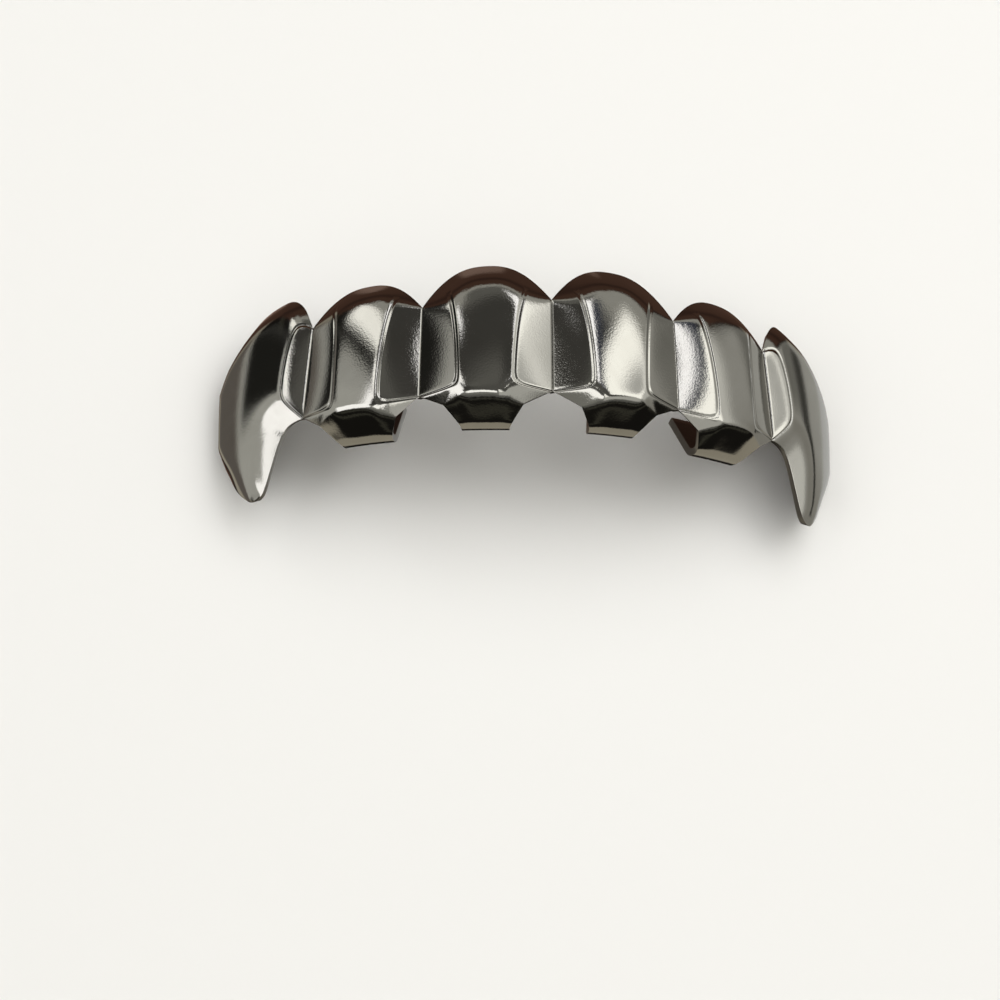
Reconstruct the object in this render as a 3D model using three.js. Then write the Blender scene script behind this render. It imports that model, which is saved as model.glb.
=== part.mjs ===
// Grill of six caps, the outer two drawn into fangs: one thin shell of plated sheet metal.
// It lies on its back: X runs along the row of caps, Y points to the upper edge,
// and Z is up, the way the front faces look. It rests on the cut ends of the two fangs.
import * as THREE from 'three';
import { mergeVertices } from 'three/addons/utils/BufferGeometryUtils.js';

// Driving dimensions, in millimetres, with angles along the arch in degrees.
const ARCH_HALF_WIDTH = 23;
const ARCH_DEPTH = 18;
const WALL = 0.5;
const CONTACT_GROOVE = 0.05;
const PANEL_ROUND = 0.004;
const PANEL_STEEPEST_Y = 2.2;
const RIM_BEVEL_SLOPE = 0.92;
const FACE_DROP = 0.0134;
const FACE_WIDEST_Y = 1.5;
const LINE_ANGLE_BLEND = 0.06;
const NOTCH_ROLL_BLEND = 0.12;
const RIM_BLEND = 0.2;
const RIM_BLEND_AT_CONTACT = 0.03;
const FANG_RIM_BLEND = 0.15;
const UPPER_ARCH_POWER = 2.5;
const UPPER_ARCH_SKEW = 1.04;
const FANG_TUCK_FADE = 0.35;
const FANG_TUCK_LEAST_Y = -6;
const FANG_TUCK_FULL_Y = -3;
const WELD_DISTANCE = 1e-3;
const SHARPEST_MITRE = 0.6;

// Cells of the lattice over each cap.
const FACE_ROWS = 13;
const NOTCH_CELLS = 4;
const FOLD_CELLS = 8;
const FANG_CELLS = 20;
const ROW_EASE = 0.6;
const UPPER_LINE_CELLS = 70;

// The lines where caps meet, from the middle outwards, and the outer end of the fang: the angle
// along the arch at LEAN_Y, its lean per millimetre up, and the heights of the edges there.
const LEAN_Y = 2.6;
const CONTACTS = [
  { angle: 0, lean: 0, upper: 6.4, notch: -0.15 },
  { angle: 21.9, lean: -0.08, upper: 5.88, notch: -0.47 },
  { angle: 43.1, lean: -0.3, upper: 5.41, notch: -0.91 },
  { angle: 68.5, lean: 0, upper: 2.65, notch: -1.7 },
];

// The caps of one half: upperRise is the arch of the upper edge over its two ends, tuck is how far
// that edge turns in, crest is the swell of the face at crestAt of its width, round is the
// face's curvature across, and panel and roll are the slopes of its side panels and at its notches.
const CENTRAL = {
  start: CONTACTS[0], end: CONTACTS[1], upperRise: 2.97, tuck: 0.9,
  crest: 0.95, crestAt: 0.5, round: 0.012, panel: 0.36, roll: 0.65,
};
const LATERAL = {
  start: CONTACTS[1], end: CONTACTS[2], upperRise: 2.36, tuck: 0.5,
  crest: 0.92, crestAt: 0.5, round: 0.014, panel: 0.36, roll: 0.65,
};
const FANG = {
  start: CONTACTS[2], end: CONTACTS[3], tuck: 0.45,
  crest: 0.92, crestAt: 0.46, round: 0.016, panel: 0.56, roll: 0.46,
};

// The tab that folds under each incisor: root is its fold across the face, arched a little,
// foot the narrower lowest fold, land the depth of the flat foot, and lip the end of the
// strip that rises behind the cap.
const CENTRAL_TAB = {
  rootFrom: 1.9, rootTo: 7.1, rootY: -1.15, rootArch: 0.5, footFrom: 2.7, footTo: 6.0, footY: -2.3,
  footTuck: 1.0, land: 1.1, lipFrom: 3.3, lipTo: 5.4, lipBack: 1.4, lipUp: 3.0,
};
const LATERAL_TAB = {
  rootFrom: 1.4, rootTo: 6.6, rootY: -1.72, rootArch: 0.5, footFrom: 1.9, footTo: 5.5, footY: -2.83,
  footTuck: 1.0, land: 1.1, lipFrom: 1.9, lipTo: 5.5, lipBack: 2.1, lipUp: 3.1,
};

// The upper edge of the fang, from its contact to its outer end, and its lower edge from the notch
// down the inner side, round the tip and back up: across as a share of the cap's width, y up.
const FANG_UPPER = [
  { across: 0, y: FANG.start.upper },
  { across: 0.1, y: 7.13 },
  { across: 0.245, y: 7.9 },
  { across: 0.475, y: 7.4 },
  { across: 0.67, y: 6.27 },
  { across: 0.84, y: 4.87 },
  { across: 0.915, y: 3.97 },
  { across: 1, y: FANG.end.upper },
];
const FANG_TIP = { across: 0.452, y: -5.98 };
const FANG_SPIKE = [
  { across: 0, y: FANG.start.notch },
  { across: 0.134, y: -1.37 },
  { across: 0.204, y: -2.34 },
  { across: 0.257, y: -3.75 },
  { across: 0.31, y: -5.12 },
  { across: 0.362, y: -5.76 },
  FANG_TIP,
  { across: 0.535, y: -5.7 },
  { across: 0.71, y: -4.6 },
  { across: 0.905, y: -2.89 },
  { across: 1, y: FANG.end.notch },
];

const FANG_UPPER_LINE = new THREE.SplineCurve(
  FANG_UPPER.map((point) => new THREE.Vector2(point.across, point.y))).getPoints(UPPER_LINE_CELLS);

// Height of a line at a place between its ends.
function heightOnLine(line, across) {
  const before = line.findLastIndex((point) => point.x < across);
  const after = THREE.MathUtils.clamp(before + 1, 1, line.length - 1);
  const [from, to] = [line[after - 1], line[after]];
  return THREE.MathUtils.mapLinear(across, from.x, to.x, from.y, to.y);
}

// Length of a cap along the arch.
function capWidth(cap) {
  const middle = THREE.MathUtils.degToRad((cap.start.angle + cap.end.angle) / 2);
  const speed = Math.hypot(ARCH_HALF_WIDTH * Math.cos(middle), ARCH_DEPTH * Math.sin(middle));
  return speed * THREE.MathUtils.degToRad(cap.end.angle - cap.start.angle);
}

function contactAngle(contact, y) {
  return contact.angle + contact.lean * (y - LEAN_Y);
}

// A point s along a cap and y up, standing proud of the arch by the given amount.
function archPoint(cap, s, y, proud) {
  const angle = THREE.MathUtils.degToRad(THREE.MathUtils.lerp(
    contactAngle(cap.start, y), contactAngle(cap.end, y), s / capWidth(cap)));
  const outward = new THREE.Vector3(
    ARCH_DEPTH * Math.sin(angle), 0, ARCH_HALF_WIDTH * Math.cos(angle)).normalize();
  const onArch = new THREE.Vector3(
    ARCH_HALF_WIDTH * Math.sin(angle), y, ARCH_DEPTH * (Math.cos(angle) - 1));
  return onArch.addScaledVector(outward, proud);
}

// Height of the upper edge: a scallop over an incisor, a drawn line over the fang.
function upperHeight(cap, s) {
  const across = s / capWidth(cap);
  if (cap === FANG) {
    return heightOnLine(FANG_UPPER_LINE, across);
  }
  const arch = 1 - Math.abs(2 * across ** UPPER_ARCH_SKEW - 1) ** UPPER_ARCH_POWER;
  return THREE.MathUtils.lerp(cap.start.upper, cap.end.upper, across) + cap.upperRise * arch;
}

// How far the upper edge turns in: nothing at the contacts, most under the arch.
// A fang keeps it along its outer end and loses it towards its tip.
function upperTuck(cap, s, y) {
  const across = s / capWidth(cap);
  const fade = cap === FANG
    ? THREE.MathUtils.smoothstep(across, 0, FANG_TUCK_FADE)
      * THREE.MathUtils.smoothstep(y, FANG_TUCK_LEAST_Y, FANG_TUCK_FULL_Y)
    : 1 - Math.abs(2 * across - 1) ** UPPER_ARCH_POWER;
  return cap.tuck * fade;
}

function distanceToPath(path, s, y) {
  const place = new THREE.Vector3(s, y, 0);
  const nearest = new THREE.Vector3();
  let distance = Infinity;
  for (let i = 1; i < path.length; i += 1) {
    const start = new THREE.Vector3(path[i - 1].x, path[i - 1].y, 0);
    const end = new THREE.Vector3(path[i].x, path[i].y, 0);
    new THREE.Line3(start, end).closestPointToPoint(place, true, nearest);
    distance = Math.min(distance, nearest.distanceTo(place));
  }
  return distance;
}

// The least of several surfaces, with the lines where they meet rounded.
function softLeast(blend, heights) {
  const sum = heights.reduce((total, height) => total + Math.exp(-height / blend), 0);
  return -blend * Math.log(sum);
}

// The swell of a cap: a rounded face that rolls down to the notches, cut back by the side
// panels and by the bevel round the rim.
function capSwell(cap, edges, s, y) {
  const width = capWidth(cap);
  const isFang = cap === FANG;
  if (s <= 0 || (s >= width && !isFang)) {
    return -CONTACT_GROOVE;
  }
  const face = cap.crest - cap.round * (s - cap.crestAt * width) ** 2
    - FACE_DROP * (y - FACE_WIDEST_Y) ** 2;
  const rolls = edges.notches.map((notch) => cap.roll * distanceToPath(notch, s, y));
  const rolled = softLeast(NOTCH_ROLL_BLEND, [face, ...rolls]);
  const rim = RIM_BEVEL_SLOPE * distanceToPath(edges.rim, s, y) - upperTuck(cap, s, y);
  const slope = cap.panel - PANEL_ROUND * (y - PANEL_STEEPEST_Y) ** 2;
  if (isFang) {
    return softLeast(LINE_ANGLE_BLEND, [softLeast(FANG_RIM_BLEND, [rolled, rim]), slope * s]);
  }
  const body = softLeast(LINE_ANGLE_BLEND, [rolled, slope * s, slope * (width - s)]);
  const toContact = Math.abs(2 * s / width - 1) ** UPPER_ARCH_POWER;
  return softLeast(THREE.MathUtils.lerp(RIM_BLEND, RIM_BLEND_AT_CONTACT, toContact), [body, rim]);
}

// Evenly spaced points on a straight stretch, without its first point.
function straightStretch(from, to, cells) {
  return new THREE.LineCurve(from, to).getPoints(cells).slice(1);
}

// Lower edge of an incisor: down from a notch to the tab, along its fold, and up again.
function incisorEdges(cap, tab) {
  const width = capWidth(cap);
  const start = new THREE.Vector2(0, cap.start.notch);
  const rootStart = new THREE.Vector2(tab.rootFrom, tab.rootY);
  const rootEnd = new THREE.Vector2(tab.rootTo, tab.rootY);
  const end = new THREE.Vector2(width, cap.end.notch);
  const fold = straightStretch(rootStart, rootEnd, FOLD_CELLS);
  fold.forEach((point, i) => { point.y += tab.rootArch * (1 - (2 * (i + 1) / FOLD_CELLS - 1) ** 2); });
  const lower = [
    start,
    ...straightStretch(start, rootStart, NOTCH_CELLS),
    ...fold,
    ...straightStretch(rootEnd, end, NOTCH_CELLS),
  ];
  const rim = lower.map((point) => new THREE.Vector2(point.x, upperHeight(cap, point.x)));
  return { lower, rim, notches: [[start, rootStart], [rootEnd, end]] };
}

// Edges of the fang: the rim runs over the upper edge, down the outer end and back to the tip,
// and the face rolls down to the inner side of the spike.
function fangEdges(cap) {
  const width = capWidth(cap);
  const outline = FANG_SPIKE.map((point) => new THREE.Vector2(point.across * width, point.y));
  const lower = new THREE.SplineCurve(outline).getSpacedPoints(FANG_CELLS);
  const upper = lower.map((point) => new THREE.Vector2(point.x, upperHeight(cap, point.x)));
  const tip = new THREE.Vector2(FANG_TIP.across * width, FANG_TIP.y);
  const outerSide = lower.filter((point) => point.x > tip.x).reverse();
  const innerSide = lower.filter((point) => point.x < tip.x);
  return { lower, rim: [...upper, ...outerSide, tip], notches: [innerSide] };
}

// Rows are closer together near the upper edge and the lower edge.
function rowFraction(row) {
  const even = row / FACE_ROWS;
  const eased = 0.5 - 0.5 * Math.cos(Math.PI * even);
  return THREE.MathUtils.lerp(even, eased, ROW_EASE);
}

// Lattice of points over a cap, row by row from the upper edge to the lower edge.
function faceLattice(cap, edges) {
  const rows = [];
  for (let row = 0; row <= FACE_ROWS; row += 1) {
    rows.push(edges.lower.map((low) => {
      const y = THREE.MathUtils.lerp(upperHeight(cap, low.x), low.y, rowFraction(row));
      return archPoint(cap, low.x, y, capSwell(cap, edges, low.x, y));
    }));
  }
  return rows;
}

// The outer end of the fang is cut flat, so that the shell can lie on it.
function flattenOuterEnd(lattice) {
  const ends = lattice.map((row) => row.at(-1));
  const lowest = Math.min(...ends.map((point) => point.z));
  ends.forEach((point) => { point.z = lowest; });
  return lowest;
}

// Lattice of points over a tab: from the fold down to the foot, across its land and up the lip.
function tabLattice(cap, tab, face) {
  const root = face.at(-1).slice(NOTCH_CELLS, NOTCH_CELLS + FOLD_CELLS + 1);
  const landTuck = tab.footTuck + tab.land;
  const foot = { from: tab.footFrom, to: tab.footTo, y: tab.footY };
  const folds = [
    { ...foot, tuck: tab.footTuck, cells: 2 },
    { ...foot, tuck: landTuck, cells: 1 },
    { from: tab.lipFrom, to: tab.lipTo, y: tab.footY + tab.lipUp, tuck: landTuck + tab.lipBack, cells: 3 },
  ];
  const rows = [root];
  for (const fold of folds) {
    const before = rows.at(-1);
    const after = root.map((point, column) => {
      const s = THREE.MathUtils.lerp(fold.from, fold.to, column / FOLD_CELLS);
      return archPoint(cap, s, fold.y, -fold.tuck);
    });
    for (let cell = 1; cell <= fold.cells; cell += 1) {
      rows.push(after.map((point, column) => before[column].clone().lerp(point, cell / fold.cells)));
    }
  }
  return rows;
}

// Triangles of a lattice, and of its mirror image on the other side.
function pushLattice(positions, rows) {
  for (let row = 1; row < rows.length; row += 1) {
    for (let column = 1; column < rows[row].length; column += 1) {
      const upperIn = rows[row - 1][column - 1];
      const upperOut = rows[row - 1][column];
      const lowerIn = rows[row][column - 1];
      const lowerOut = rows[row][column];
      const falling = upperIn.distanceTo(lowerOut) < lowerIn.distanceTo(upperOut);
      const triangles = falling
        ? [[upperIn, lowerIn, lowerOut], [upperIn, lowerOut, upperOut]]
        : [[upperIn, lowerIn, upperOut], [lowerIn, lowerOut, upperOut]];
      for (const triangle of triangles) {
        triangle.forEach((point) => positions.push(point.x, point.y, point.z));
        triangle.reverse().forEach((point) => positions.push(-point.x, point.y, point.z));
      }
    }
  }
}

// Normals of a skin's triangles, and of its vertices lengthened so that a wall of even
// thickness is mitred where the skin folds.
function mitredNormals(points, triangles) {
  const sums = points.map(() => new THREE.Vector3());
  const flats = triangles.map((corners) => {
    const [a, b, c] = corners.map((corner) => points[corner]);
    const flat = new THREE.Triangle(a, b, c).getNormal(new THREE.Vector3());
    corners.forEach((corner, place) => {
      const next = points[corners[(place + 1) % 3]].clone().sub(points[corner]);
      const last = points[corners[(place + 2) % 3]].clone().sub(points[corner]);
      sums[corner].addScaledVector(flat, next.angleTo(last));
    });
    return flat;
  });
  const least = points.map(() => 1);
  sums.forEach((sum) => sum.normalize());
  triangles.forEach((corners, index) => corners.forEach((corner) => {
    least[corner] = Math.min(least[corner], sums[corner].dot(flats[index]));
  }));
  return sums.map((sum, index) => sum.divideScalar(Math.max(least[index], SHARPEST_MITRE)));
}

// A closed shell: the skin, the same skin set in by the wall, and a strip along its edges.
function shellGeometry(skin, restPlane) {
  const place = skin.getAttribute('position');
  const count = place.count;
  const outer = Array.from({ length: count }, (_, i) => new THREE.Vector3().fromBufferAttribute(place, i));
  const index = Array.from(skin.index.array);
  const triangles = [];
  for (let i = 0; i < index.length; i += 3) {
    triangles.push(index.slice(i, i + 3));
  }
  const normals = mitredNormals(outer, triangles);
  const inner = outer.map((point, i) => point.clone().addScaledVector(normals[i], -WALL));
  outer.forEach((point, i) => {
    if (Math.abs(point.z - restPlane) < WELD_DISTANCE) {
      inner[i].z = point.z;
    }
  });

  const directed = new Set();
  const faces = [];
  for (const [a, b, c] of triangles) {
    faces.push([a, b, c], [c + count, b + count, a + count]);
    [[a, b], [b, c], [c, a]].forEach(([from, to]) => directed.add(`${from} ${to}`));
  }
  for (const edge of directed) {
    const [from, to] = edge.split(' ').map(Number);
    if (!directed.has(`${to} ${from}`)) {
      faces.push([to, from, from + count], [to, from + count, to + count]);
    }
  }
  const geometry = new THREE.BufferGeometry().setFromPoints([...outer, ...inner]);
  geometry.setIndex(faces.flat());
  geometry.computeVertexNormals();
  return geometry;
}

const positions = [];
for (const [cap, tab] of [[CENTRAL, CENTRAL_TAB], [LATERAL, LATERAL_TAB]]) {
  const edges = incisorEdges(cap, tab);
  const face = faceLattice(cap, edges);
  pushLattice(positions, face);
  pushLattice(positions, tabLattice(cap, tab, face));
}
const fangFace = faceLattice(FANG, fangEdges(FANG));
const restPlane = flattenOuterEnd(fangFace);
pushLattice(positions, fangFace);

const triangleSkin = new THREE.BufferGeometry();
triangleSkin.setAttribute('position', new THREE.Float32BufferAttribute(positions, 3));
const geometry = shellGeometry(mergeVertices(triangleSkin, WELD_DISTANCE), restPlane);

// The origin is under the middle of the shell, on the surface that it lies on.
geometry.computeBoundingBox();
const middle = geometry.boundingBox.getCenter(new THREE.Vector3());
const gunmetal = new THREE.MeshStandardMaterial({ color: 0x5c5a54, roughness: 0.12, metalness: 1 });
const shell = new THREE.Mesh(geometry, gunmetal);
shell.name = 'grill_shell';
shell.position.set(0, -middle.y, -restPlane);

const grill = new THREE.Group();
grill.add(shell);

export default grill;
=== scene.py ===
from math import cos, hypot, pi, radians, sin

import bmesh
import bpy
import numpy as np
from mathutils import Matrix, Vector, noise


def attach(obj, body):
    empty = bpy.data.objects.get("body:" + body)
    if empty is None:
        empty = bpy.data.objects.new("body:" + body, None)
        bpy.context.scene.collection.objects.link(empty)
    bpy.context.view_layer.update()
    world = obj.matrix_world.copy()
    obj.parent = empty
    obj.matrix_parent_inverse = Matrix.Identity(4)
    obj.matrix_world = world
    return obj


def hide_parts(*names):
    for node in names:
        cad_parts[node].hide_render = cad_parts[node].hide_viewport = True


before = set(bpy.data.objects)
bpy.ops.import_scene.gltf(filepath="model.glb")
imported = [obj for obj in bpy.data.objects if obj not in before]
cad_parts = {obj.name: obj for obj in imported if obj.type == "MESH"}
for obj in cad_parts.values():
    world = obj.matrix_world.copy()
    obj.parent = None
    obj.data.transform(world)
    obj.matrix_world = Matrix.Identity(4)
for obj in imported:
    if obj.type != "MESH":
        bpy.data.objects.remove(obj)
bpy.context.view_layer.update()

# Incisor caps: the four middle caps of one thin brass sheet, pressed in a die.
# Each face swells between two side panels, turns in along the scalloped upper edge
# and meets its neighbour in a sharp groove. Sizes are in millimetres and degrees.
MM = 0.001
ARCH_HALF_WIDTH = 23
ARCH_DEPTH = 18
CONTACT_GROOVE = 0.05
PANEL_SLOPE = 0.36
PANEL_ROUND = 0.004
PANEL_STEEPEST_Y = 2.2
NOTCH_ROLL_SLOPE = 0.65
NOTCH_ROLL_BLEND = 0.12
RIM_BEVEL_SLOPE = 0.92
FACE_DROP = 0.0134
FACE_WIDEST_Y = 1.5
LINE_ANGLE_BLEND = 0.035
RIM_BLEND = 0.2
RIM_BLEND_AT_CONTACT = 0.03
UPPER_ARCH_POWER = 2.5
UPPER_ARCH_SKEW = 1.04
LEAN_Y = 2.6
FACE_ROWS = 52
ROW_EASE = 0.6
NOTCH_CELLS = 13
NOTCH_EASE = 1.4
FOLD_CELLS = 40

# Where caps meet, from the middle outwards, and the outer end of the fang: the angle along the
# arch at LEAN_Y, its lean for each millimetre up, and the heights of the two edges there.
MIDLINE = dict(angle=0, lean=0, upper=6.4, notch=-0.15)
CENTRAL_TO_LATERAL = dict(angle=21.9, lean=-0.08, upper=5.88, notch=-0.47)
LATERAL_TO_FANG = dict(angle=43.1, lean=-0.3, upper=5.41, notch=-0.91)
FANG_END = dict(angle=68.5, lean=0, upper=2.65, notch=-1.7)


def cap_between(start, end, **form):
    """A cap's form with its ends and its width along the arch."""
    middle = radians((start["angle"] + end["angle"]) / 2)
    speed = hypot(ARCH_HALF_WIDTH * cos(middle), ARCH_DEPTH * sin(middle))
    width = speed * radians(end["angle"] - start["angle"])
    return dict(form, start=start, end=end, width=width)


def lerp(a, b, t):
    return a + (b - a) * t


def arch_points(cap, s, y, proud):
    """Points s along a cap and y up, standing proud of the arch."""
    start_angle = cap["start"]["angle"] + cap["start"]["lean"] * (y - LEAN_Y)
    end_angle = cap["end"]["angle"] + cap["end"]["lean"] * (y - LEAN_Y)
    angle = np.radians(lerp(start_angle, end_angle, s / cap["width"]))
    outward_x = ARCH_DEPTH * np.sin(angle)
    outward_z = ARCH_HALF_WIDTH * np.cos(angle)
    reach = proud / np.hypot(outward_x, outward_z)
    x = ARCH_HALF_WIDTH * np.sin(angle) + outward_x * reach
    z = ARCH_DEPTH * (np.cos(angle) - 1) + outward_z * reach
    return np.stack([x, y, z], axis=-1)


def upper_height(cap, s):
    """Height of the scalloped upper edge."""
    across = s / cap["width"]
    arch = 1 - np.abs(2 * across ** UPPER_ARCH_SKEW - 1) ** UPPER_ARCH_POWER
    return lerp(cap["start"]["upper"], cap["end"]["upper"], across) + cap["upper_rise"] * arch


def distance_to(path, s, y):
    """Distance from points to a line drawn on the flat sheet."""
    begin = path[:-1]
    along = path[1:] - begin
    point = np.stack([s, y], axis=-1)[..., None, :]
    share = ((point - begin) * along).sum(-1) / (along ** 2).sum(-1)
    nearest = begin + np.clip(share, 0, 1)[..., None] * along
    return np.linalg.norm(point - nearest, axis=-1).min(-1)


def soft_least(blend, *heights):
    """The least of several surfaces, with the lines where they meet rounded."""
    sunk = np.broadcast_arrays(*[-height / blend for height in heights])
    return -blend * np.logaddexp.reduce(sunk)


def panel_slope(steepest, y):
    """Slope of a side panel, which flattens a little towards the upper edge and the notch."""
    return steepest - PANEL_ROUND * (y - PANEL_STEEPEST_Y) ** 2


def rounded_face(cap, off_crest, y):
    """How far a cap's plain rounded face stands out, some way along from its crest."""
    return cap["crest"] - cap["round"] * off_crest ** 2 - FACE_DROP * (y - FACE_WIDEST_Y) ** 2


def incisor_face(cap, edges, s, y):
    """How far the face of an incisor would stand out without its panels and its rim."""
    face = rounded_face(cap, s - cap["width"] / 2, y)
    rolls = [NOTCH_ROLL_SLOPE * distance_to(notch, s, y) for notch in edges["notches"]]
    return soft_least(NOTCH_ROLL_BLEND, face, *rolls)


def incisor_panels(cap, s, y):
    """How far the two side panels of an incisor stand out."""
    return panel_slope(PANEL_SLOPE, y) * np.minimum(s, cap["width"] - s)


def incisor_rim(cap, edges, s, y):
    """How far the bevel along the upper edge of an incisor stands out."""
    tuck = cap["tuck"] * (1 - np.abs(2 * s / cap["width"] - 1) ** UPPER_ARCH_POWER)
    return RIM_BEVEL_SLOPE * distance_to(edges["rim"], s, y) - tuck


def incisor_swell(cap, edges, s, y):
    """How far an incisor stands out: a rounded face cut back by panels and the rim's bevel."""
    body = soft_least(LINE_ANGLE_BLEND, incisor_face(cap, edges, s, y), incisor_panels(cap, s, y))
    from_middle = np.abs(2 * s / cap["width"] - 1)
    rim_blend = lerp(RIM_BLEND, RIM_BLEND_AT_CONTACT, from_middle ** UPPER_ARCH_POWER)
    swell = soft_least(rim_blend, body, incisor_rim(cap, edges, s, y))
    at_contact = (s <= 0) | (s >= cap["width"])
    return np.where(at_contact, -CONTACT_GROOVE, swell)


def incisor_edges(cap, tab):
    """The lower edge from notch to notch along the fold of the tab, and the upper edge over it."""
    notch_start = np.array([0, cap["start"]["notch"]])
    notch_end = np.array([cap["width"], cap["end"]["notch"]])
    root_start = np.array([tab["root_from"], tab["root_y"]])
    root_end = np.array([tab["root_to"], tab["root_y"]])
    fold = np.linspace(root_start, root_end, FOLD_CELLS + 1)
    fold[:, 1] += tab["root_arch"] * (1 - np.linspace(-1, 1, FOLD_CELLS + 1) ** 2)
    from_notch = np.linspace(0, 1, NOTCH_CELLS + 1)[:, None] ** NOTCH_EASE
    lower = np.concatenate([
        lerp(notch_start, root_start, from_notch)[:-1],
        fold,
        lerp(notch_end, root_end, from_notch)[-2::-1],
    ])
    lower[-1, 0] = cap["width"]
    rim = np.column_stack([lower[:, 0], upper_height(cap, lower[:, 0])])
    notches = [np.array([notch_start, root_start]), np.array([root_end, notch_end])]
    return dict(lower=lower, rim=rim, notches=notches, fold=fold)


def face_rows(lower, upper):
    """Places on a face, row by row from its lower edge to its upper edge."""
    even = np.linspace(0, 1, FACE_ROWS + 1)[:, None]
    eased = lerp(even, 0.5 - 0.5 * np.cos(pi * even), ROW_EASE)
    y = lerp(lower[:, 1], upper[:, 1], eased)
    s = np.broadcast_to(lower[:, 0], y.shape)
    return s, y


def smooth_step(share):
    share = np.clip(share, 0, 1)
    return share ** 2 * (3 - 2 * share)


def lay_sheet(sheet, points, **marks):
    """A patch of the sheet through rows of points, the lowest row first, with marks for its finish."""
    rows = points.shape[0] - 1
    columns = points.shape[1] - 1
    patch = bmesh.ops.create_grid(sheet, x_segments=columns, y_segments=rows, size=0.5)["verts"]
    for vert in patch:
        column = round((vert.co.x + 0.5) * columns)
        row = round((vert.co.y + 0.5) * rows)
        vert.co = points[row, column] * MM
        for name, values in marks.items():
            vert[mark_layers[name]] = values[row, column]


CENTRAL = cap_between(MIDLINE, CENTRAL_TO_LATERAL,
                      upper_rise=2.97, tuck=0.9, crest=0.95, round=0.012)
CENTRAL_TAB = dict(root_from=1.9, root_to=7.1, root_y=-1.15, root_arch=0.5,
                   foot_from=2.7, foot_to=6.0, foot_y=-2.3, foot_tuck=1.0, land=1.1,
                   lip_from=3.3, lip_to=5.4, lip_back=1.4, lip_up=3.0)
LATERAL = cap_between(CENTRAL_TO_LATERAL, LATERAL_TO_FANG,
                      upper_rise=2.36, tuck=0.5, crest=0.92, round=0.014)
LATERAL_TAB = dict(root_from=1.4, root_to=6.6, root_y=-1.72, root_arch=0.5,
                   foot_from=1.9, foot_to=5.5, foot_y=-2.83, foot_tuck=1.0, land=1.1,
                   lip_from=1.9, lip_to=5.5, lip_back=2.1, lip_up=3.1)

# Folded tabs: one strip of the same sheet below each incisor cap, bent back under it,
# along a narrow flat foot and up behind, so that the grill clips on.
# The bends are pressed without sharp corners, and fade out at the ends of the fold.
FOLD_BLEND = 0.17
SHARPEST_BLEND = 0.004
FOLD_FADE = 0.16
FOLD_END_SLACK = 1e-9
FOOT_CUT = 0.5
CLEAR_OF_BEND = 1.2
BEND_STEPS = 7
STRAIGHT_STEPS = 7

# Marks for the finish: how deep in a side panel a place is, and how far on the rim's bevel,
# over which the groove round the panel fades out.
OUT_OF_PANEL = -1
GROOVE_FADE = 0.3


def fold_blend(across):
    """How rounded the fold is, across the tab from one end to the other."""
    from_end = np.minimum(across, 1 - across) / FOLD_FADE
    return SHARPEST_BLEND + FOLD_BLEND * np.clip(from_end, 0, 1)


def folded_swell(cap, tab, edges, s, y):
    """The swell of an incisor with its lower edge rounded into the fold of its tab."""
    swell = incisor_swell(cap, edges, s, y)
    across = (s - tab["root_from"]) / (tab["root_to"] - tab["root_from"])
    over_fold = (across >= -FOLD_END_SLACK) & (across <= 1 + FOLD_END_SLACK)
    fold_y = np.interp(s, edges["fold"][:, 0], edges["fold"][:, 1])
    fold_proud = incisor_swell(cap, edges, s, fold_y)
    slope = (fold_proud + tab["foot_tuck"]) / (fold_y - tab["foot_y"])
    bevel = fold_proud + slope * (y - fold_y)
    rounded = soft_least(fold_blend(np.clip(across, 0, 1)), swell, bevel)
    return np.where(over_fold, rounded, swell)


def bent_path(corners, cut, steps):
    """Rows of places along a strip, with its inner corners bent round."""
    rows = list(np.linspace(corners[0], corners[1], STRAIGHT_STEPS, endpoint=False))
    clear = cut * CLEAR_OF_BEND
    rows = [row for row in rows if np.linalg.norm(row - corners[1], axis=-1).min() > clear]
    for before, corner, after in zip(corners, corners[1:], corners[2:]):
        back = before - corner
        forward = after - corner
        enter = corner + back / np.linalg.norm(back, axis=-1, keepdims=True) * cut
        leave = corner + forward / np.linalg.norm(forward, axis=-1, keepdims=True) * cut
        for t in np.linspace(0, 1, steps):
            rows.append((1 - t) ** 2 * enter + 2 * t * (1 - t) * corner + t ** 2 * leave)
    rows += list(np.linspace(rows[-1], corners[-1], STRAIGHT_STEPS)[1:])
    return np.array(rows)


def tab_points(cap, tab, edges):
    """Points over a tab, from the end of its lip to its fold."""
    across = np.linspace(0, 1, FOLD_CELLS + 1)
    root_s, root_y = edges["fold"].T
    root_proud = incisor_swell(cap, edges, root_s, root_y)
    foot_s = lerp(tab["foot_from"], tab["foot_to"], across)
    lip_s = lerp(tab["lip_from"], tab["lip_to"], across)
    level = np.ones_like(across)
    land_tuck = tab["foot_tuck"] + tab["land"]
    lip_tuck = land_tuck + tab["lip_back"]
    lip_y = tab["foot_y"] + tab["lip_up"]
    corners = [
        np.column_stack([root_s, root_y, root_proud]),
        np.column_stack([foot_s, tab["foot_y"] * level, -tab["foot_tuck"] * level]),
        np.column_stack([foot_s, tab["foot_y"] * level, -land_tuck * level]),
        np.column_stack([lip_s, lip_y * level, -lip_tuck * level]),
    ]
    rows = bent_path(corners, FOOT_CUT, BEND_STEPS)
    proud = soft_least(fold_blend(across), root_proud, rows[..., 2])
    return arch_points(cap, rows[..., 0], rows[..., 1], proud)[::-1]


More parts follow.
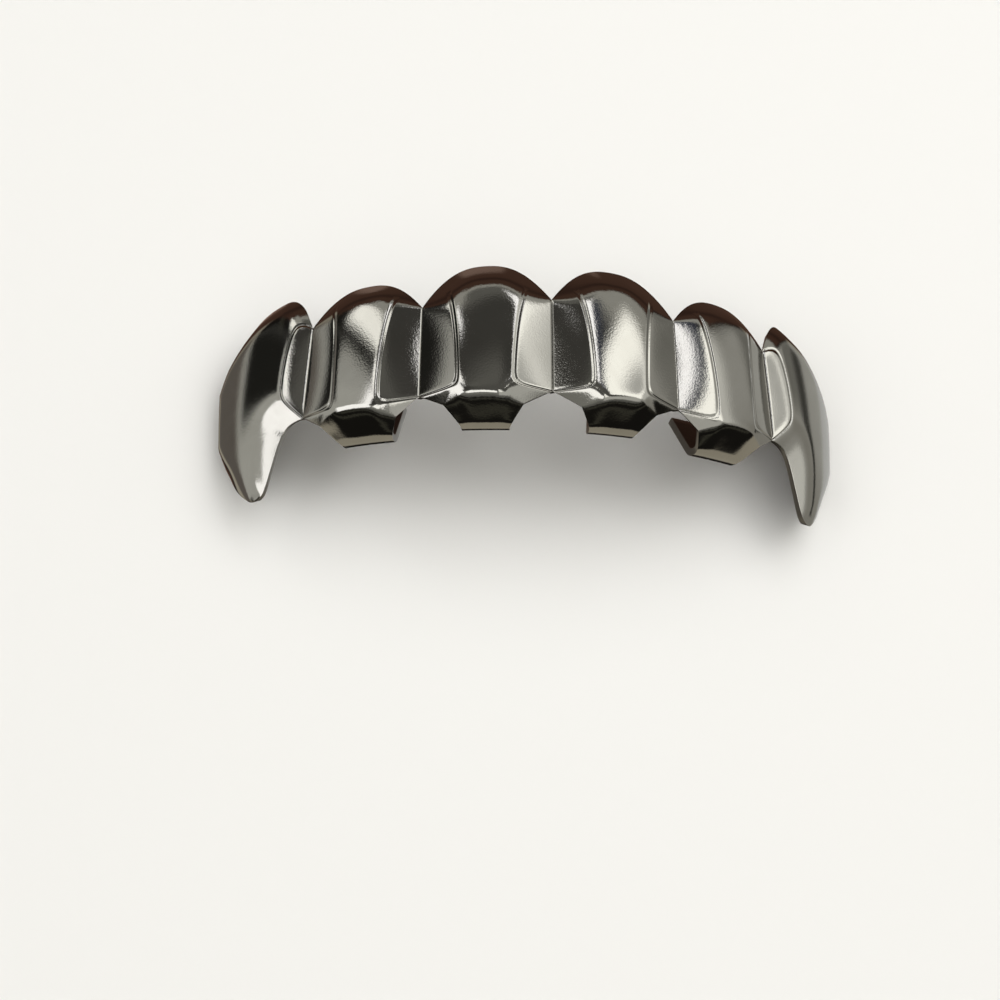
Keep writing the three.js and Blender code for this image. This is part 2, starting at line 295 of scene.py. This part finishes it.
sheet = bmesh.new()
mark_layers = {name: sheet.verts.layers.float.new(name) for name in ("in_panel", "on_rim")}
for cap, tab in [(CENTRAL, CENTRAL_TAB), (LATERAL, LATERAL_TAB)]:
    edges = incisor_edges(cap, tab)
    s, y = face_rows(edges["lower"], edges["rim"])
    face = incisor_face(cap, edges, s, y)
    panels = incisor_panels(cap, s, y)
    over_rim = np.minimum(face, panels) - incisor_rim(cap, edges, s, y)
    points = arch_points(cap, s, y, folded_swell(cap, tab, edges, s, y))
    lay_sheet(sheet, points, in_panel=face - panels, on_rim=smooth_step(over_rim / GROOVE_FADE))
    points = tab_points(cap, tab, edges)
    lay_sheet(sheet, points, in_panel=np.full(points.shape[:2], OUT_OF_PANEL))

# Fang caps: the two outer caps of the sheet, drawn down into long hooked points.
# They have no tab: the sheet ends at the spike's edge and, at the outer end, in a straight
# ground cut that the grill can lie on.
FANG = cap_between(LATERAL_TO_FANG, FANG_END, tuck=0.45, crest=0.92, crest_at=0.46, round=0.016)
FANG_TUCK_FADE = 0.35
FANG_RIM_BLEND = 0.15
FANG_PANEL_SLOPE = 0.56
FANG_LINE_BLEND = 0.08
FANG_ROLL_SLOPE = 0.46
FANG_ROLL_BLEND = 0.12
FANG_TUCK_LEAST_Y = -6
FANG_TUCK_FULL_Y = -3
FANG_CELLS = 60
FANG_CONTACT_COLUMN = 0.2
SPLINE_STEPS = 40

# The upper edge and the spike's edge of a fang, outwards: shares of its width, and heights.
FANG_UPPER = [(0, LATERAL_TO_FANG["upper"]), (0.1, 7.13), (0.245, 7.9), (0.475, 7.4),
              (0.67, 6.27), (0.84, 4.87), (0.915, 3.97), (1, FANG_END["upper"])]
FANG_TIP = (0.452, -5.98)
FANG_SPIKE = [(0, LATERAL_TO_FANG["notch"]), (0.134, -1.37), (0.204, -2.34), (0.257, -3.75),
              (0.31, -5.12), (0.362, -5.76), FANG_TIP, (0.535, -5.7), (0.71, -4.6),
              (0.905, -2.89), (1, FANG_END["notch"])]


def smooth_line(points, cells):
    """Evenly spaced places on a smooth line through a few points."""
    ends = np.concatenate([points[:1], points, points[-1:]])
    before = ends[:-3, None]
    start = ends[1:-2, None]
    end = ends[2:-1, None]
    after = ends[3:, None]
    t = np.linspace(0, 1, SPLINE_STEPS, endpoint=False)[:, None]
    leave = (end - before) / 2
    arrive = (after - start) / 2
    bend = (2 * start - 2 * end + leave + arrive) * t ** 3
    bend = bend + (3 * end - 3 * start - 2 * leave - arrive) * t ** 2
    line = (bend + leave * t + start).reshape(-1, 2)
    line = np.concatenate([line, points[-1:]])
    length = np.concatenate([[0], np.linalg.norm(np.diff(line, axis=0), axis=1).cumsum()])
    spaced = np.linspace(0, length[-1], cells + 1)
    return np.column_stack([np.interp(spaced, length, line[:, axis]) for axis in (0, 1)])


def fang_edges(cap):
    """The edge of the spike, and the rim over the top, down the outer end and back to the tip."""
    to_sheet = [cap["width"], 1]
    lower = smooth_line(np.array(FANG_SPIKE) * to_sheet, FANG_CELLS)
    lower = np.insert(lower, 1, lerp(lower[0], lower[1], FANG_CONTACT_COLUMN), axis=0)
    tip = np.array([FANG_TIP]) * to_sheet
    upper = smooth_line(np.array(FANG_UPPER) * to_sheet, FANG_CELLS)
    upper = np.column_stack([lower[:, 0], np.interp(lower[:, 0], upper[:, 0], upper[:, 1])])
    outer_side = lower[lower[:, 0] > tip[0, 0]][::-1]
    inner_side = lower[lower[:, 0] < tip[0, 0]]
    rim = np.concatenate([upper, outer_side, tip])
    return dict(lower=lower, upper=upper, rim=rim, inner_side=inner_side)


def fang_body(cap, edges, s, y):
    """How far a fang would stand out without its panel: a rounded face, bevels along rim and spike."""
    width = cap["width"]
    tuck = cap["tuck"] * smooth_step(s / width / FANG_TUCK_FADE)
    tuck = tuck * smooth_step((y - FANG_TUCK_LEAST_Y) / (FANG_TUCK_FULL_Y - FANG_TUCK_LEAST_Y))
    off_crest = s - cap["crest_at"] * width
    face = rounded_face(cap, off_crest, y)
    roll = FANG_ROLL_SLOPE * distance_to(edges["inner_side"], s, y)
    rim = RIM_BEVEL_SLOPE * distance_to(edges["rim"], s, y) - tuck
    return soft_least(FANG_RIM_BLEND, soft_least(FANG_ROLL_BLEND, face, roll), rim)


edges = fang_edges(FANG)
s, y = face_rows(edges["lower"], edges["upper"])
body = fang_body(FANG, edges, s, y)
panel = panel_slope(FANG_PANEL_SLOPE, y) * s
swell = np.where(s <= 0, -CONTACT_GROOVE, soft_least(FANG_LINE_BLEND, body, panel))
points = arch_points(FANG, s, y, swell)
rest_height = points[:, -1, 2].min()
points[:, -1, 2] = rest_height
lay_sheet(sheet, points, in_panel=body - panel)

# The whole shell: both halves of the sheet in one piece, half a millimetre thick.
# Its faces are slightly wavy from pressing and polishing, its outer ends are ground flat,
# and its cut edges and sharp outer grooves are broken by hand.
WALL = 0.5
WELD = 0.001
WAVE_LENGTH = 3.2
WAVE_HEIGHT = 0.012
EDGE_ANGLE = radians(60)
EDGE_ROUND = 0.09
EDGE_SEGMENTS = 3

bmesh.ops.translate(sheet, verts=sheet.verts, vec=(0, 0, -rest_height * MM))
bmesh.ops.mirror(sheet, geom=sheet.verts[:] + sheet.edges[:] + sheet.faces[:], axis="X",
                 matrix=Matrix.Identity(4), merge_dist=WELD * MM)
bmesh.ops.remove_doubles(sheet, verts=sheet.verts, dist=WELD * MM)
bmesh.ops.recalc_face_normals(sheet, faces=sheet.faces)
front = max(sheet.faces, key=lambda face: face.calc_center_median().z)
if front.normal.z < 0:
    bmesh.ops.reverse_faces(sheet, faces=sheet.faces)
sheet.normal_update()

outer_verts = set(sheet.verts)
outer_faces = set(sheet.faces)
rest_verts = {vert for vert in outer_verts if abs(vert.co.z) < WELD * MM}
for vert in outer_verts - rest_verts:
    wave = noise.noise(vert.co / (WAVE_LENGTH * MM))
    vert.co += vert.normal * wave * WAVE_HEIGHT * MM
bmesh.ops.solidify(sheet, geom=sheet.faces[:], thickness=WALL * MM)
for vert in rest_verts:
    for edge in vert.link_edges:
        inner_vert = edge.other_vert(vert)
        if inner_vert not in outer_verts:
            inner_vert.co.z = 0
for face in sheet.faces:
    face.material_index = 0 if face in outer_faces else 1
    face.smooth = True

heights = [vert.co.y for vert in sheet.verts]
bmesh.ops.translate(sheet, verts=sheet.verts, vec=(0, -(min(heights) + max(heights)) / 2, 0))
cut_faces = [face for face in sheet.faces
             if 0 < len(outer_verts.intersection(face.verts)) < len(face.verts)]
worked_faces = outer_faces.union(cut_faces)
sharp_edges = [edge for edge in sheet.edges
               if edge.calc_face_angle() > EDGE_ANGLE and not worked_faces.isdisjoint(edge.link_faces)]
# Painted highlight: the vertices of the bevelled edges are marked, and the plating gets a paler colour
# there.
painted_edge_highlight = sheet.verts.layers.float.new("painted_edge_highlight")
broken = bmesh.ops.bevel(sheet, geom=sharp_edges, offset=EDGE_ROUND * MM, offset_type="OFFSET",
                         segments=EDGE_SEGMENTS, profile=0.5, affect="EDGES", clamp_overlap=True,
                         material=-1)
for vert in broken["verts"]:
    vert[painted_edge_highlight] = 1
for face in broken["faces"]:
    face.smooth = True
    face.material_index = 0

shell_mesh = bpy.data.meshes.new("grill_shell_plate")
sheet.to_mesh(shell_mesh)
sheet.free()
shell = bpy.data.objects.new("grill_shell_plate", shell_mesh)
bpy.context.scene.collection.objects.link(shell)

# Gunmetal plating: a dark, warm grey chrome, mirror bright outside with a fine orange peel,
# a few pits and faint smears, a painted highlight as a paler colour on the broken edges, and a
# satin finish on the cut and inside, where the wheel can't reach; the colour there is also much darker.
LEAST_SMEAR = 0.3
MOST_SMEAR = 0.7


def add_node(tree, kind, inputs=None, **settings):
    """A shader node with its settings, and its inputs linked or set by name or place."""
    made = tree.nodes.new(kind)
    for name, value in settings.items():
        setattr(made, name, value)
    for key, value in (inputs or {}).items():
        if isinstance(value, bpy.types.NodeSocket):
            tree.links.new(value, made.inputs[key])
        else:
            made.inputs[key].default_value = value
    return made


def mix_colours(tree, share, first, second):
    """A mix of two colours, each a value or an output, by a share."""
    mixed = add_node(tree, "ShaderNodeMix", {"Factor": share}, data_type="RGBA")
    sockets = {socket.identifier: socket for socket in mixed.inputs}
    for name, colour in (("A_Color", first), ("B_Color", second)):
        if isinstance(colour, bpy.types.NodeSocket):
            tree.links.new(colour, sockets[name])
        else:
            sockets[name].default_value = colour
    return next(socket for socket in mixed.outputs if socket.identifier == "Result_Color")


def calculate(tree, operation, *values):
    """The result of a sum, of which each term is a value or an output."""
    return add_node(tree, "ShaderNodeMath", dict(enumerate(values)), operation=operation).outputs["Value"]


def plating_grain_group():
    """Fine orange peel, pits and smears of a plated and polished surface, on Object coordinates."""
    group = bpy.data.node_groups.new("plating_grain", "ShaderNodeTree")
    group.interface.new_socket("Peel Scale", in_out="INPUT", socket_type="NodeSocketFloat")
    group.interface.new_socket("Pit Amount", in_out="INPUT", socket_type="NodeSocketFloat")
    for name in ("Height", "Smear"):
        group.interface.new_socket(name, in_out="OUTPUT", socket_type="NodeSocketFloat")
    given = group.nodes.new("NodeGroupInput")
    place = group.nodes.new("ShaderNodeTexCoord").outputs["Object"]
    peel = add_node(group, "ShaderNodeTexNoise", {
        "Vector": place, "Scale": given.outputs["Peel Scale"], "Detail": 3.0, "Roughness": 0.55})
    pit_cells = add_node(group, "ShaderNodeTexVoronoi", {"Vector": place, "Scale": 1400.0})
    pit_choice = add_node(group, "ShaderNodeTexNoise", {"Vector": place, "Scale": 420.0, "Detail": 1.0})
    pit_size = add_node(group, "ShaderNodeMapRange", {
        "Value": pit_choice.outputs["Fac"], "From Min": 0.58, "From Max": 0.75,
        "To Min": 0.0, "To Max": 0.17})
    pit_depth = calculate(group, "SUBTRACT", pit_size.outputs["Result"], pit_cells.outputs["Distance"])
    pits = add_node(group, "ShaderNodeMapRange", {
        "Value": pit_depth, "From Min": 0.0, "From Max": 0.06, "To Min": 0.0, "To Max": 1.0})
    pit_share = calculate(group, "MULTIPLY", pits.outputs["Result"], given.outputs["Pit Amount"])
    height = calculate(group, "SUBTRACT", peel.outputs["Fac"], pit_share)
    smear = add_node(group, "ShaderNodeTexNoise", {
        "Vector": place, "Scale": 260.0, "Detail": 5.0, "Roughness": 0.6, "Distortion": 0.8})
    taken = group.nodes.new("NodeGroupOutput")
    group.links.new(height, taken.inputs["Height"])
    group.links.new(smear.outputs["Fac"], taken.inputs["Smear"])
    return group


def panel_groove(tree, width, depth):
    """Normals of the fine groove along the border of each side panel, which fades out on the rim."""
    in_panel = add_node(tree, "ShaderNodeAttribute", attribute_name="in_panel").outputs["Fac"]
    on_rim = add_node(tree, "ShaderNodeAttribute", attribute_name="on_rim").outputs["Fac"]
    side = add_node(tree, "ShaderNodeMapRange", {
        "Value": calculate(tree, "ABSOLUTE", in_panel), "From Min": 0.0, "From Max": width},
        interpolation_type="SMOOTHSTEP")
    height = calculate(tree, "MAXIMUM", side.outputs["Result"], on_rim)
    groove = add_node(tree, "ShaderNodeBump", {
        "Height": height, "Strength": 1.0, "Distance": depth * MM})
    return groove.outputs["Normal"]


def plated(name, peel_scale, pit_amount, peel_height, deep, pale, edge_highlight_colour, gloss, groove=None):
    """A plated finish: deep to pale and glossy to dull by smear, paler on broken edges as a painted
    highlight, perhaps grooved.
    """
    material = bpy.data.materials.new(name)
    material.use_nodes = True
    tree = material.node_tree
    shader = tree.nodes["Principled BSDF"]
    surface = add_node(tree, "ShaderNodeGroup", node_tree=plating_grain)
    surface.inputs["Peel Scale"].default_value = peel_scale
    surface.inputs["Pit Amount"].default_value = pit_amount
    smear = {"Value": surface.outputs["Smear"], "From Min": LEAST_SMEAR, "From Max": MOST_SMEAR}
    smear_share = add_node(tree, "ShaderNodeMapRange", smear)
    tone = mix_colours(tree, smear_share.outputs["Result"], deep, pale)
    # Painted highlight: a paler colour on the bevelled edges.
    edge = add_node(tree, "ShaderNodeAttribute", attribute_name="painted_edge_highlight")
    colour = mix_colours(tree, edge.outputs["Fac"], tone, edge_highlight_colour)
    rough = add_node(tree, "ShaderNodeMapRange", {**smear, "To Min": gloss[0], "To Max": gloss[1]})
    relief = {"Height": surface.outputs["Height"], "Strength": 1.0, "Distance": peel_height * MM}
    if groove:
        relief["Normal"] = panel_groove(tree, **groove)
    bump = add_node(tree, "ShaderNodeBump", relief)
    shader.inputs["Metallic"].default_value = 1.0
    tree.links.new(colour, shader.inputs["Base Color"])
    tree.links.new(rough.outputs["Result"], shader.inputs["Roughness"])
    tree.links.new(bump.outputs["Normal"], shader.inputs["Normal"])
    return material


plating_grain = plating_grain_group()
# The paler colour given for the bevelled edges is a painted highlight.
shell_mesh.materials.append(plated(
    "polished_gunmetal", peel_scale=8000.0, pit_amount=0.8, peel_height=0.0035,
    deep=(0.365, 0.355, 0.33, 1), pale=(0.405, 0.395, 0.37, 1), edge_highlight_colour=(0.42, 0.405, 0.375, 1),
    gloss=(0.04, 0.08), groove=dict(width=0.055, depth=0.045)))
# The cut and inside faces: satin, and much darker in colour than the outside.
shell_mesh.materials.append(plated(
    "satin_gunmetal", peel_scale=3600.0, pit_amount=0.4, peel_height=0.012,
    deep=(0.09, 0.085, 0.077, 1), pale=(0.13, 0.123, 0.11, 1), edge_highlight_colour=(0.2, 0.19, 0.174, 1),
    gloss=(0.28, 0.42)))
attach(shell, "root")
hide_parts("grill_shell")

# The studio: a pale matt table under one broad soft lamp, inside a tent of white, grey and
# black cloth. Its walls go all round and are what the polished faces mirror;
# the table and the lamp are kept out of the mirror.
TABLE_HALF_SIDE = 1.5
TABLE_COLOUR = (0.86, 0.85, 0.83, 1)
TABLE_ROUGHNESS = 0.75
LAMP_SIDE = 0.5
LAMP_PLACE = Vector((0.12, 0.16, 0.45))
LAMP_WATTS = 1.4

table = bmesh.new()
bmesh.ops.create_grid(table, x_segments=1, y_segments=1, size=TABLE_HALF_SIDE)
table_mesh = bpy.data.meshes.new("table")
table.to_mesh(table_mesh)
table.free()
table_object = bpy.data.objects.new("table", table_mesh)
bpy.context.scene.collection.objects.link(table_object)
table_object.visible_glossy = False
table_paint = bpy.data.materials.new("table_paint")
table_paint.use_nodes = True
table_shader = table_paint.node_tree.nodes["Principled BSDF"]
table_shader.inputs["Base Color"].default_value = TABLE_COLOUR
table_shader.inputs["Roughness"].default_value = TABLE_ROUGHNESS
table_mesh.materials.append(table_paint)

lamp = bpy.data.lights.new("soft_lamp", "AREA")
lamp.size = LAMP_SIDE
lamp.energy = LAMP_WATTS
lamp_object = bpy.data.objects.new("soft_lamp", lamp)
lamp_object.location = LAMP_PLACE
lamp_object.rotation_euler = LAMP_PLACE.to_track_quat("Z", "Y").to_euler()
lamp_object.visible_camera = False
lamp_object.visible_glossy = False
bpy.context.scene.collection.objects.link(lamp_object)

# What hangs in the tent, the later in front of the earlier: its angles round from +Y (the upper side)
# by +X, its angles up and how soft its borders are, all in degrees, and its light. One that leans
# goes so many degrees round for each degree up, and has its angles round at LEAN_UP.
BACK_WALL = (0.015, 0.014, 0.012, 1)
LEAN_UP = 58
ALL_ROUND = (-200, 200)
HANGINGS = {
    "low rail of the back wall": dict(turn=ALL_ROUND, up=(11, 14), soft=4, light=(0.08, 0.078, 0.06)),
    "high rail of the back wall": dict(turn=ALL_ROUND, up=(23, 26), soft=4, light=(0.09, 0.088, 0.07)),
    "pale strip of the back wall": dict(turn=ALL_ROUND, up=(31, 42), soft=6, light=(0.2, 0.198, 0.18)),
    "hem of the back wall": dict(turn=ALL_ROUND, up=(-64, -8), soft=8, light=(0.5, 0.46, 0.37)),
    "ceiling": dict(turn=ALL_ROUND, up=(46, 110), soft=8, light=(0.085, 0.083, 0.075)),
    "top of the ceiling": dict(turn=ALL_ROUND, up=(74, 110), soft=12, light=(0.16, 0.158, 0.145)),
    "pale patch of the ceiling": dict(turn=(-62, -4), up=(66, 77), soft=10, light=(0.2, 0.198, 0.18)),
    "left rear band": dict(turn=(-200, -110), up=(40, 64), soft=8, light=(0.35, 0.35, 0.32)),
    "right rear band": dict(turn=(98, 200), up=(40, 70), soft=8, light=(0.8, 0.8, 0.75)),
    "left rear lamp": dict(turn=(-172, -125), up=(56, 72), soft=5, light=(2.3, 2.3, 2.25)),
    "right rear lamp": dict(turn=(142, 180), up=(66, 84), soft=5, light=(1.9, 1.9, 1.8)),
    "brown cloth": dict(turn=(-48, 50), up=(-75, 30), soft=8, light=(0.1, 0.053, 0.037)),
    # A painted shadow: a darker strip across the upper part of the brown cloth.
    "painted shadow on the brown cloth": dict(turn=(-48, 50), up=(4, 14), soft=16, light=(0.05, 0.027, 0.02)),
    "foot of the brown cloth": dict(turn=(-14, 10), up=(-75, -15), soft=6, light=(0.3, 0.2, 0.16)),
    "pale band": dict(turn=(-50, 58), up=(30, 49), soft=6, light=(0.55, 0.545, 0.5)),
    "peak of the brown cloth": dict(turn=(-24, 24), up=(20, 36), soft=6, light=(0.1, 0.055, 0.038)),
    "grey band": dict(turn=(-24, 16), up=(42, 51), soft=5, light=(0.2, 0.198, 0.18)),
    "right wall": dict(turn=(54, 108), up=(-45, 42), soft=8, light=(0.55, 0.545, 0.505)),
    "foot of the right wall": dict(turn=(74, 108), up=(-45, 20), soft=14, light=(0.41, 0.4, 0.36)),
    "top of the right wall": dict(turn=(54, 98), up=(27, 44), soft=8, light=(1.05, 1.05, 0.99)),
    "dim part of the right wall": dict(turn=(54, 70), up=(-8, 11), soft=8, light=(0.28, 0.276, 0.25)),
    "hem of the right wall": dict(turn=(50, 78), up=(-74, -31), soft=6, light=(0.7, 0.705, 0.685)),
    "dark seam of the right wall": dict(turn=(59, 92), up=(-14, -6), soft=4, light=(0.08, 0.078, 0.07)),
    "left wall": dict(turn=(-106, -58), up=(-14, 48), soft=6, light=(0.7, 0.7, 0.65)),
    "foot of the left wall": dict(turn=(-125, -53), up=(-46, -12), soft=8, light=(0.2, 0.18, 0.16)),
    "black flag": dict(turn=(-74, -56), up=(-8, 28), soft=6, light=(0.025, 0.025, 0.022)),
    "black strip": dict(turn=(-64, -56.5), up=(18, 48), soft=4, lean=-0.26, light=(0.025, 0.025, 0.022)),
    "left strip": dict(turn=(-52, -40), up=(26, 50), soft=5, light=(2.0, 2.0, 1.9)),
    "small left lamp": dict(turn=(-66, -60), up=(27, 46), soft=4, light=(0.62, 0.62, 0.58)),
    "lamp over the strip": dict(turn=(-61, -53), up=(49, 63), soft=3, light=(2.3, 2.3, 2.25)),
    "left lamp": dict(turn=(-37, -31), up=(46, 54), soft=4, light=(2.4, 2.4, 2.45)),
    "left screen": dict(turn=(-98, -63), up=(47, 58), soft=5, light=(2.2, 2.2, 2.2)),
    "low left screen": dict(turn=(-122, -89), up=(28, 53), soft=4, light=(2.3, 2.3, 2.3)),
    "upper left lamp": dict(turn=(-70, -61), up=(54, 63), soft=5, light=(2.2, 2.2, 2.2)),
    "right screen": dict(turn=(38, 98), up=(42, 72), soft=6, light=(2.3, 2.3, 2.18)),
    "right fold": dict(turn=(28, 37), up=(47, 77), soft=4, lean=1.05, light=(0.06, 0.07, 0.1)),
    "right lamp": dict(turn=(15, 28), up=(47, 75), soft=4, lean=1.05, light=(2.4, 2.4, 2.45)),
    "patch on the right screen": dict(turn=(54, 72), up=(44, 57), soft=10, light=(0.9, 0.9, 0.855)),
    "right rear panel": dict(turn=(98, 130), up=(60, 82), soft=5, light=(0.14, 0.138, 0.125)),
}


def between(tree, value, span, soft):
    """One inside a span and nothing outside it, with soft borders."""
    rise = add_node(tree, "ShaderNodeMapRange", {
        "Value": value, "From Min": span[0] - soft / 2, "From Max": span[0] + soft / 2},
        interpolation_type="SMOOTHSTEP")
    fall = add_node(tree, "ShaderNodeMapRange", {
        "Value": value, "From Min": span[1] - soft / 2, "From Max": span[1] + soft / 2,
        "To Min": 1.0, "To Max": 0.0}, interpolation_type="SMOOTHSTEP")
    return calculate(tree, "MULTIPLY", rise.outputs["Result"], fall.outputs["Result"])


world = bpy.data.worlds.new("tent")
world.use_nodes = True
bpy.context.scene.world = world
tent = world.node_tree
direction = add_node(tent, "ShaderNodeTexCoord").outputs["Generated"]
axes = add_node(tent, "ShaderNodeSeparateXYZ", {"Vector": direction})
turned = calculate(tent, "ARCTAN2", axes.outputs["X"], axes.outputs["Y"])
turn_angle = calculate(tent, "DEGREES", turned)
up_angle = calculate(tent, "DEGREES", calculate(tent, "ARCSINE", axes.outputs["Z"]))
light = BACK_WALL
for name, hanging in HANGINGS.items():
    span = hanging["turn"]
    upright_angle = turn_angle
    if "lean" in hanging:
        span = [angle - hanging["lean"] * LEAN_UP for angle in span]
        upright_angle = calculate(tent, "MULTIPLY_ADD", up_angle, -hanging["lean"], turn_angle)
    inside_sides = between(tent, upright_angle, span, hanging["soft"])
    inside_ends = between(tent, up_angle, hanging["up"], hanging["soft"])
    inside = calculate(tent, "MULTIPLY", inside_sides, inside_ends)
    light = mix_colours(tent, inside, light, (*hanging["light"], 1))
    light.node.label = name
tent.links.new(light, tent.nodes["Background"].inputs["Color"])

# The camera looks down on the faces of the caps through a long lens, a little from the left
# and from below the lower edge. Its lengths are in millimetres, as its place is.
CAMERA_PLACE = Vector((-28.213, -67.619, 177.062)) * MM
CAMERA_YAW = radians(8.48)
CAMERA_PITCH = radians(-19.18)
CAMERA_ROLL = radians(0.35)
SENSOR_WIDTH = 36
LENS_LENGTH = 98.8
NEAREST = 10
camera = bpy.data.cameras.new("camera")
camera.sensor_width = SENSOR_WIDTH
camera.lens = LENS_LENGTH
camera.clip_start = NEAREST * MM
camera_object = bpy.data.objects.new("camera", camera)
bpy.context.scene.collection.objects.link(camera_object)
turn = (Matrix.Rotation(CAMERA_ROLL, 4, "Z") @ Matrix.Rotation(CAMERA_PITCH, 4, "X")
        @ Matrix.Rotation(CAMERA_YAW, 4, "Y"))
camera_object.matrix_world = Matrix.Translation(CAMERA_PLACE) @ turn.inverted()
bpy.context.scene.camera = camera_object
bpy.context.scene.view_settings.view_transform = "Standard"
